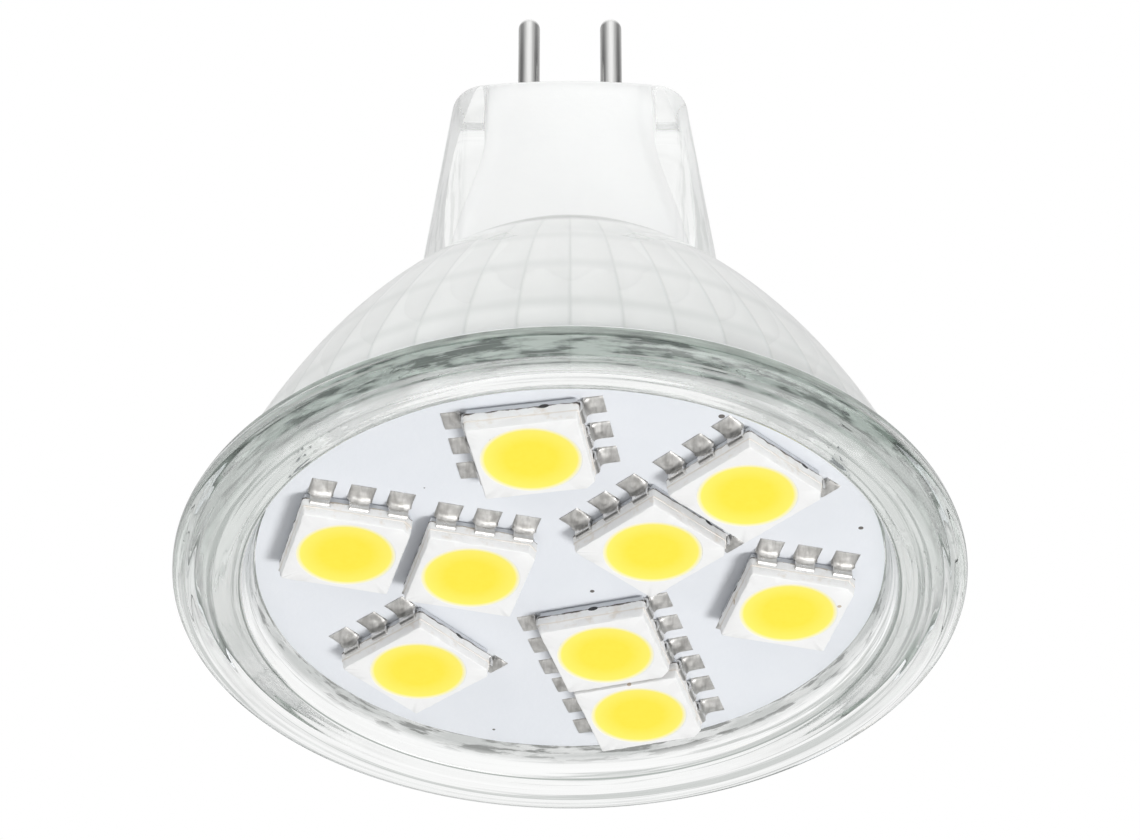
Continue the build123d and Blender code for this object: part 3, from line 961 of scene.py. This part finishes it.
def housing_outline(half, rounding, cut):
    """A square outline with rounded corners, the first of them cut, as a list of points."""
    points = []
    corners = (cut, rounding, rounding, rounding)
    for quarter, amount in enumerate(corners):
        turn = quarter * pi / 2
        start, centre = -half + corners[quarter - 1], half - amount
        steps = [k / (SIDE_POINTS - 1) for k in range(SIDE_POINTS)]
        side = [(half, blend(start, centre, step)) for step in steps]
        if quarter == 0:
            bend = [(blend(half, centre, k / 4), blend(centre, half, k / 4)) for k in (1, 2, 3)]
        else:
            lean = [pi / 2 * k / 4 for k in (1, 2, 3)]
            bend = [(centre + amount * cos(b), centre + amount * sin(b)) for b in lean]
        for x, y in side + bend:
            points.append((x * cos(turn) - y * sin(turn), x * sin(turn) + y * cos(turn)))
    return points


foot_outline = housing_outline(half, CORNER_ROUND, CORNER_CUT)
outline_angles = [atan2(y, x) for x, y in foot_outline]
print("points round the housing", len(foot_outline))

# %% Housing
edge_noise = np.random.RandomState(5)


def square_ring(inset, z, rough):
    """A ring of the housing's square at height z, a little uneven where it is an edge."""
    outline = housing_outline(half - inset, CORNER_ROUND, CORNER_CUT)
    shifts = edge_noise.normal(0, 1, (len(outline), 3)).clip(-1.5, 1.5) * rough
    return [(x + a, y + b, z + c) for (x, y), (a, b, c) in zip(outline, shifts)]


def draft_at(z):
    """How far the drafted side has leaned in at height z."""
    return DRAFT * (z - LED_FOOT) / (LED_HEIGHT - LED_FOOT)


under_parting = PARTING_Z - 0.2
parting, top = draft_at(PARTING_Z), DRAFT + PARTING_STEP
square_lines = [
    (PLINTH_INSET + PLINTH_EDGE, PLINTH_Z, 0),
    (PLINTH_INSET, PLINTH_Z + 0.02, 0),
    (PLINTH_INSET, LED_FOOT - PLINTH_EDGE, 0),
    (0.02, LED_FOOT, 1),
    (draft_at(under_parting), under_parting, 0),
    (parting, PARTING_Z, 0.7),
    (parting + PARTING_STEP, PARTING_Z + 0.03, 0.7),
    (DRAFT * 0.85 + PARTING_STEP, LED_HEIGHT - HOUSING_EDGE, 0),
    (top + 0.02, LED_HEIGHT - 0.02, 0.6),
    (top + 0.05, LED_HEIGHT, 0),
]
cup_lines = [
    (CUP_R + CUP_LIP, LED_HEIGHT),
    (CUP_R, LED_HEIGHT - CUP_LIP),
    (CUP_FLOOR_R, LED_HEIGHT - CUP_DEPTH),
]
housing_rings = [square_ring(inset, z, ROUGH_EDGE * rough) for inset, z, rough in square_lines]
housing_rings += [round_ring(r, z, outline_angles) for r, z in cup_lines]
housing_model = ring_shell("housing_model", housing_rings, capped=True)
smooth(housing_model, 30)

# %% Phosphor
PHOSPHOR_DIP, PHOSPHOR_GAP, PHOSPHOR_AROUND = 0.05, 0.01, 72
phosphor_angles = even_angles(PHOSPHOR_AROUND)
phosphor_floor = LED_HEIGHT - CUP_DEPTH + PHOSPHOR_GAP
phosphor_line = [(0.05, phosphor_floor), (CUP_FLOOR_R - PHOSPHOR_GAP, phosphor_floor)]
for share in (0.998, 0.97, 0.93, 0.88, 0.82, 0.75, 0.6, 0.4, 0.2, 0.03):
    dip = PHOSPHOR_DIP * (1 - share**4)
    phosphor_line.append((CUP_R * share, LED_HEIGHT - CUP_LIP - dip))
phosphor_rings = [round_ring(r, z, phosphor_angles) for r, z in phosphor_line]
phosphor_model = ring_shell("phosphor_model", phosphor_rings, capped=True)
smooth(phosphor_model, 40)
rim_share = phosphor_model.data.attributes.new("rim_share", "FLOAT", "POINT")
for vertex in phosphor_model.data.vertices:
    rim_share.data[vertex.index].value = hypot(vertex.co.x, vertex.co.y) / (CUP_R * MM)

# %% [markdown]
# The leads are flat tinned strips: out of the housing's side, down a bright knee, and in under
# the housing. Solder climbs each knee from its pad in a hollow curve, and catches the light.

# %% Leads
LEAD_WIDTH, LEAD_THICK, LEAD_PITCH, LEAD_RISE, LEAD_FOOT = 0.9, 0.15, 1.75, 0.5, 0.7
BEND, BEND_STEPS, LEAD_EDGE, LEAD_ROOT = 0.12, 3, 0.03, 0.06
lead_out = half + LEAD_THICK
mid = LEAD_THICK / 2
knee, shelf = lead_out - mid, LEAD_RISE + mid
lead_path = [((half - LEAD_ROOT, shelf), (0, 1)), ((knee - BEND, shelf), (0, 1))]
for step in range(1, BEND_STEPS + 1):
    turn = step / BEND_STEPS * pi / 2
    spot = (knee - BEND * (1 - sin(turn)), shelf - BEND * (1 - cos(turn)))
    lead_path.append((spot, (sin(turn), cos(turn))))
for step in range(BEND_STEPS + 1):
    turn = step / BEND_STEPS * pi / 2
    spot = (knee - BEND * (1 - cos(turn)), mid + BEND * (1 - sin(turn)))
    lead_path.append((spot, (cos(turn), -sin(turn))))
lead_path.append(((half - LEAD_FOOT, mid), (0, -1)))
wide, narrow, thin = LEAD_WIDTH / 2, LEAD_WIDTH / 2 - LEAD_EDGE, mid - LEAD_EDGE
strip = [(wide, -thin), (wide, thin), (narrow, mid), (-narrow, mid)]
strip += [(-wide, thin), (-wide, -thin), (-narrow, -mid), (narrow, -mid)]
lead_rings = [
    [(x, spot[0] + out[0] * lift, spot[1] + out[1] * lift) for x, lift in strip]
    for spot, out in lead_path
]
lead_model = ring_shell("lead_model", lead_rings, capped=True)
smooth(lead_model, 40)

# %% Solder pads
PAD_WIDTH, PAD_LENGTH, PAD_THICK, PAD_CUTS = 1.14, 0.86, 0.07, 11
SIDE_DROP, END_DROP, PAD_WAIST, WAIST_START = 0.5, 0.4, 0.05, 0.05
SOLDER_RISE, SOLDER_REACH, SOLDER_EDGE = 0.26, 0.13, 0.6
BLOB_RISE, BLOB_ALONG, BLOB_SIZE = 0.07, 0.38, 0.2
fresh()
bpy.ops.mesh.primitive_cube_add(size=1)
pad_model = bpy.context.object
bpy.ops.object.mode_set(mode="EDIT")
bpy.ops.mesh.subdivide(number_cuts=PAD_CUTS)
mesh = bmesh.from_edit_mesh(pad_model.data)
for vertex in mesh.verts:
    across, along, up = vertex.co.x, vertex.co.y + 0.5, vertex.co.z + 0.5
    edge = abs(across) * 2
    climb = SOLDER_RISE * np.exp(-along / SOLDER_REACH) * (1 - SOLDER_EDGE * edge**3)
    from_blob = ((along - BLOB_ALONG) / BLOB_SIZE) ** 2 + (across / BLOB_SIZE) ** 2
    plate = PAD_THICK * (1 - SIDE_DROP * edge**8) * (1 - END_DROP * along**10)
    height = plate + climb + BLOB_RISE * np.exp(-from_blob)
    waist = 1 - PAD_WAIST * up * (1 if along > WAIST_START else 0)
    place = (across * PAD_WIDTH * waist, lead_out + along * PAD_LENGTH, up * height)
    vertex.co = Vector(place) * MM
bmesh.update_edit_mesh(pad_model.data)
bpy.ops.mesh.select_all(action="SELECT")
bpy.ops.mesh.normals_make_consistent(inside=False)
bpy.ops.object.mode_set(mode="OBJECT")
smooth(pad_model, 50)
print("pad faces", len(pad_model.data.polygons))

# %% [markdown]
# ## Finishes of an LED
# The housing is ivory plastic with resin stains on its sides and a brown parting line. A ragged
# brown band of painted shade runs along its foot, nearly black on its two ends, where a black
# oval also sits, and the plinth is painted a shaded grey-blue. These marks follow the LED and not
# the room, so each copy carries its own place in an attribute.

# %% Housing finish
DARK_MARK_Y, DARK_MARK_SKEW, DARK_MARK_WIDE, DARK_MARK_HIGH = -0.45, 0.55, 0.24, 0.13
housing_finish, tree, shader, coordinates = finish("led_ivory", (0.86, 0.855, 0.835), 0.5)
seat_place = node(tree, "ShaderNodeAttribute", attribute_name="seat_place").outputs["Vector"]
seat_x, seat_y, seat_z = axes(tree, seat_place)
clean = two_tone(tree, coordinates, 700.0, (0.855, 0.85, 0.838), (0.885, 0.885, 0.875))
stain = mottling(tree, coordinates, 1600.0)
below_top = remap(tree, seat_z, LED_HEIGHT - 0.03, LED_HEIGHT - 0.15)
stained = all_of(tree, remap(tree, stain, 0.6, 1.0, 0.0, 0.55), below_top)
parted = remap(tree, off(tree, seat_z, PARTING_Z), 0.05, 0.01, 0.0, 0.55)
ragged = calc(tree, "MULTIPLY_ADD", stain, -0.1, seat_z)
# Painted shade: a ragged brown band along the housing's foot, nearly black on its two ends.
foot_shade_band = remap(tree, ragged, LED_FOOT + 0.02, LED_FOOT - 0.03)
# Painted shade: the plinth is a shaded grey-blue, darker than the board.
plinth_shade = remap(tree, seat_z, LED_FOOT - 0.01, LED_FOOT - 0.03)
on_end = calc(tree, "GREATER_THAN", calc(tree, "ABSOLUTE", seat_x), half - 0.2)
# A black oval at the foot of each end of the housing.
dark_mark_y = calc(tree, "MULTIPLY_ADD", calc(tree, "SIGN", seat_x), -DARK_MARK_SKEW, DARK_MARK_Y)
reach = []
for value, middle, size in ((seat_y, dark_mark_y, DARK_MARK_WIDE), (seat_z, LED_FOOT, DARK_MARK_HIGH)):
    scaled = calc(tree, "MULTIPLY", calc(tree, "SUBTRACT", value, middle), 1 / size)
    reach.append(calc(tree, "POWER", scaled, 2.0))
in_dark_mark = calc(tree, "LESS_THAN", calc(tree, "ADD", *reach), 1.0)
dirt = use_group(tree, specks_group, coordinates, Scale=1500.0, Share=0.03, Radius=0.2)
ivory = layered(
    tree,
    clean,
    (stained, (0.70, 0.62, 0.52)),
    (parted, (0.70, 0.62, 0.53)),
    (foot_shade_band, (0.42, 0.37, 0.31)),
    (all_of(tree, foot_shade_band, on_end), (0.06, 0.045, 0.035)),
    (plinth_shade, (0.62, 0.64, 0.67)),
    (all_of(tree, in_dark_mark, on_end), (0.03, 0.03, 0.03)),
    (dirt, (0.55, 0.45, 0.35)),
)
paint(tree, shader, ivory)
add_bump(tree, shader, mottling(tree, coordinates, 4000.0), 0.2, 0.00003)
print("housing nodes", len(tree.nodes))

# %% [markdown]
# The phosphor is a gold gel that thins and pales towards the rim of its cup. The leads are tinned
# and fairly bright. The solder is duller, with tones that wander and a few dark scratches.

# %% Finishes of phosphor, leads and solder
phosphor_finish, tree, shader, coordinates = finish("phosphor_yellow", (0.98, 0.80, 0.07), 0.45)
share = node(tree, "ShaderNodeAttribute", attribute_name="rim_share").outputs["Fac"]
grainy = mottling(tree, coordinates, 3500.0)
gold = layered(
    tree,
    mix_colour(tree, grainy, (0.985, 0.80, 0.045), (0.995, 0.82, 0.055)),
    (remap(tree, share, 0.5, 1.0), (0.995, 0.885, 0.16)),
    (remap(tree, share, 0.9, 1.0), (0.915, 0.89, 0.77)),
)
paint(tree, shader, gold)
add_bump(tree, shader, grainy, 0.15, 0.00002)

lead_finish, tree, shader, coordinates = finish("lead_tin", (0.72, 0.71, 0.69), 0.3, 1.0)
tone = mottling(tree, coordinates, 2200.0)
paint(tree, shader, mix_colour(tree, tone, (0.62, 0.61, 0.59), (0.82, 0.81, 0.79)))
tree.links.new(remap(tree, tone, 0, 1, 0.38, 0.24), shader.inputs["Roughness"])
add_bump(tree, shader, tone, 0.2, 0.00003)

solder_finish, tree, shader, coordinates = finish("solder", (0.55, 0.54, 0.52), 0.38, 1.0)
worn = two_tone(tree, coordinates, 1500.0, (0.52, 0.51, 0.49), (0.78, 0.77, 0.75))
scratch = use_group(tree, grain_group, coordinates, Stretch=(5000, 900, 3000))
scratches = remap(tree, scratch, 0.55, 0.3, 0.0, 0.5)
paint(tree, shader, mix_colour(tree, scratches, worn, (0.30, 0.29, 0.27)))
tree.links.new(remap(tree, scratch, 0.3, 0.7, 0.34, 0.55), shader.inputs["Roughness"])
add_bump(tree, shader, scratch, 0.4, 0.00005)
print("materials", len(bpy.data.materials))


# %% Put the LEDs on their seats
def joined(parts, name):
    """Join several new objects into one piece."""
    pick(*parts)
    bpy.ops.object.join()
    parts[0].name = name
    parts[0].data.name = name
    return parts[0]


lead_steps = (-LEAD_PITCH, 0, LEAD_PITCH)
pads = []
for number, (distance, bearing, turn) in enumerate(LED_LAYOUT, 1):
    seat = seat_matrix(distance, bearing, turn)
    # Whole quarter turns keep the cut corner on the same side of the lamp
    quarter = round(atan2(sin(radians(turn)), cos(radians(turn))) // (pi / 2))
    turned_seat = seat @ Matrix.Rotation(quarter * pi / 2, 4, "Z")
    housing = copy_at(housing_model, f"housing_{number}", turned_seat)
    to_seat = seat.inverted()
    place = housing.data.attributes.new("seat_place", "FLOAT_VECTOR", "POINT")
    for vertex in housing.data.vertices:
        place.data[vertex.index].vector = (to_seat @ vertex.co) / MM
    wear(housing, housing_finish)
    phosphor = copy_at(phosphor_model, f"phosphor_{number}", seat)
    wear(phosphor, phosphor_finish)
    leads = []
    for side in (0, pi):
        for step in lead_steps:
            local = seat @ Matrix.Rotation(side, 4, "Z") @ Matrix.Translation((step * MM, 0, 0))
            leads.append(copy_at(lead_model, f"lead_{number}", local))
            pads.append(copy_at(pad_model, f"pad_{number}", local))
    lead_set = joined(leads, f"leads_{number}")
    wear(lead_set, lead_finish)
    for piece, node_name, slot in (
        (housing, "led_body", "led_ivory"),
        (phosphor, "led_phosphor", "phosphor_yellow"),
        (lead_set, "led_leads", "lead_tin"),
    ):
        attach(piece, "root")
        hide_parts(f"{node_name}_{number}")
solder = joined(pads, "solder_joints")
wear(solder, solder_finish)
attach(solder, "root")
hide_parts("solder_pads")
for model in (housing_model, phosphor_model, lead_model, pad_model):
    bpy.data.objects.remove(model)
print("pads", len(pads), "faces", len(solder.data.polygons))

# %% [markdown]
# ## The board
# The board is a plain disc, so its CAD node stays. Its white mask is cool and matt, with tiny
# specks of flux. Its cut edge shows the darker glass cloth and resin that the mask covers.

# %% Board finish
board_finish, tree, shader, coordinates = finish("board_white", (0.74, 0.78, 0.83), 0.5)
clean = two_tone(tree, coordinates, 180.0, (0.755, 0.778, 0.812), (0.785, 0.803, 0.832))
dirt = use_group(tree, specks_group, coordinates, Scale=1100.0, Share=0.11, Radius=0.19)
upright = axes(tree, node(tree, "ShaderNodeNewGeometry").outputs["Normal"])[2]
cut_edge = calc(tree, "LESS_THAN", calc(tree, "ABSOLUTE", upright), 0.5)
cloth = vector_calc(tree, "MULTIPLY", coordinates, (500, 500, 2400))
resin = two_tone(tree, cloth, 1.0, (0.13, 0.15, 0.14), (0.50, 0.56, 0.52))
paint(tree, shader, layered(tree, clean, (dirt, (0.14, 0.13, 0.12)), (cut_edge, resin)))
add_bump(tree, shader, mottling(tree, coordinates, 2200.0), 0.2, 0.00003)
wear(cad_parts["led_board"], board_finish)

# %% [markdown]
# ## What is inside
# Behind the board, wires run to a small driver board in the plug. Little of it shows through the
# glass, so these nodes keep their CAD shape, and each gets a plain finish in two tones.

# %% Finishes of the inside
inside_finishes = {"solder": solder_finish}
for name, colour, roughness, scale, dark, light in (
    ("driver_green", (0.05, 0.22, 0.08), 0.4, 500.0, (0.035, 0.17, 0.06), (0.07, 0.27, 0.10)),
    ("chip_black", (0.03,) * 3, 0.5, 2500.0, (0.022,) * 3, (0.045,) * 3),
    ("capacitor_tan", (0.4, 0.28, 0.16), 0.45, 2500.0, (0.36, 0.25, 0.14), (0.46, 0.33, 0.19)),
    ("wire_white", (0.82, 0.82, 0.8), 0.35, 900.0, (0.79, 0.79, 0.76), (0.86, 0.86, 0.84)),
):
    material, tree, shader, coordinates = finish(name, colour, roughness)
    paint(tree, shader, two_tone(tree, coordinates, scale, dark, light))
    inside_finishes[name] = material
for node_name, name in (
    ("driver_board", "driver_green"),
    ("bridge_rectifier", "chip_black"),
    ("ballast_resistors", "chip_black"),
    ("smoothing_capacitor", "capacitor_tan"),
    ("pin_solder", "solder"),
    ("wire_solder", "solder"),
    ("lead_wire_negative", "wire_white"),
    ("lead_wire_positive", "wire_white"),
):
    wear(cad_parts[node_name], inside_finishes[name])
print("finishes of the inside", sorted(inside_finishes))

# %% [markdown]
# ## Floor, room and lamps
# The floor is pale and see-through from below. The room is white to the camera, and for glass and
# metal it is a bright studio with darker sides, which draws the edges of clear glass.

# %% Floor
fresh()
bpy.ops.mesh.primitive_plane_add(size=1.2, location=(0, 0, 0))
floor = bpy.context.object
floor.name = "floor"
floor_finish, tree, shader, coordinates = finish("pale_floor", (0.9, 0.9, 0.9), 0.7)
paint(tree, shader, two_tone(tree, coordinates, 20.0, (0.89, 0.89, 0.89), (0.92, 0.92, 0.92)))
from_below = node(tree, "ShaderNodeNewGeometry").outputs["Backfacing"]
clear = node(tree, "ShaderNodeBsdfTransparent").outputs[0]
one_sided = mix_shader(tree, from_below, shader.outputs[0], clear)
tree.links.new(one_sided, tree.nodes["Material Output"].inputs["Surface"])
wear(floor, floor_finish)
for ray in ("visible_diffuse", "visible_glossy", "visible_transmission", "visible_shadow"):
    setattr(floor, ray, False)

# %% Room: what glass and metal see
ONWARD, KEY_SIDE = (0, 0.784, 0.621), (0.504, -0.159, -0.849)
world = bpy.data.worlds.new("white_room")
bpy.context.scene.world = world
world.use_nodes = True
tree = world.node_tree
tree.nodes.clear()
direction = node(tree, "ShaderNodeTexCoord").outputs["Generated"]
aside, _, upward = axes(tree, direction)
sideways = calc(tree, "ABSOLUTE", aside)
onward = calc(tree, "MULTIPLY_ADD", vector_calc(tree, "DOT_PRODUCT", direction, ONWARD), 0.5, 0.5)


def ramp(value, *stops):
    """A grey that follows a value, from (value, grey) stops."""
    made = node(tree, "ShaderNodeFloatCurve")
    curve = made.mapping.curves[0]
    curve.points[0].location = stops[0]
    curve.points[1].location = stops[-1]
    for stop in stops[1:-1]:
        curve.points.new(*stop)
    made.mapping.update()
    tree.links.new(value, made.inputs["Value"])
    return made.outputs[0]


through_sides = ramp(
    sideways, (0, 1), (0.4, 1), (0.5, 1), (0.57, 0.84), (0.64, 1),
    (0.78, 0.98), (0.85, 0.7), (0.92, 0.95), (1, 0.85),
)
through_front = ramp(onward, (0, 0.86), (0.25, 0.9), (0.5, 0.96), (0.75, 1), (1, 1))
flat_bands = vector_calc(tree, "MULTIPLY", direction, (1.2, 1.2, 14))
banding = remap(tree, mottling(tree, flat_bands), 0, 0.6, 0.9, 1.0)
through_light = all_of(tree, through_sides, through_front, banding)
mirror_sides = ramp(
    sideways, (0, 1), (0.2, 0.93), (0.43, 0.68), (0.63, 0.42), (0.74, 0.2), (0.8, 0.12), (1, 0.08)
)
mirror_front = ramp(
    onward, (0, 0.9), (0.25, 1), (0.45, 1), (0.7, 0.6), (0.88, 0.85), (0.95, 0.75), (1, 0.75)
)
window = remap(tree, vector_calc(tree, "DOT_PRODUCT", direction, KEY_SIDE), 0.90, 0.97, 0.0, 4.0)
overhead = remap(tree, upward, 0.7, 0.95, 0.0, 0.3)
bright_spots = calc(tree, "ADD", window, overhead)
mirror_light = calc(tree, "ADD", all_of(tree, mirror_sides, mirror_front), bright_spots)
print("room nodes", len(tree.nodes))


# %% Room: which ray sees what
def background(strength, colour=(1, 1, 1)):
    """A room of one colour, with a strength that is a socket or a number."""
    made = node(tree, "ShaderNodeBackground")
    made.inputs["Color"].default_value = (*colour, 1)
    feed(tree, strength, made.inputs["Strength"])
    return made.outputs[0]


light_path = node(tree, "ShaderNodeLightPath").outputs
in_glass = calc(tree, "GREATER_THAN", light_path["Transmission Depth"], 0.5)
through_glass = calc(tree, "MAXIMUM", light_path["Is Transmission Ray"], in_glass)
shown = background(1.0, (0.44, 0.445, 0.455))
for ray, strength in (
    (light_path["Is Glossy Ray"], mirror_light),
    (through_glass, through_light),
    (light_path["Is Camera Ray"], 1.0),
):
    shown = mix_shader(tree, ray, shown, background(strength))
tree.links.new(shown, node(tree, "ShaderNodeOutputWorld").inputs["Surface"])

# %% [markdown]
# Three soft lamps light the lamp's face, its near sides and its back. Glass and metal don't see
# the lamps themselves: the bright parts of the room above stand in for them.

# %% Lamps
AIM = Vector((0, 0, 0.01))
for name, place, size, power in (
    ("key_right", (0.38, -0.12, -0.64), 0.22, 3.85),
    ("fill_front", (-0.40, -0.68, -0.04), 0.60, 2.5),
    ("top_back", (0.20, 0.40, 0.80), 0.50, 1.8),
):
    data = bpy.data.lights.new(name, "AREA")
    data.size = size
    data.energy = power
    lamp = bpy.data.objects.new(name, data)
    lamp.location = place
    lamp.rotation_euler = (AIM - lamp.location).to_track_quat("-Z", "Y").to_euler()
    lamp.visible_transmission = False
    lamp.visible_glossy = False
    bpy.context.collection.objects.link(lamp)
    print("lamp", name, "watts", power)
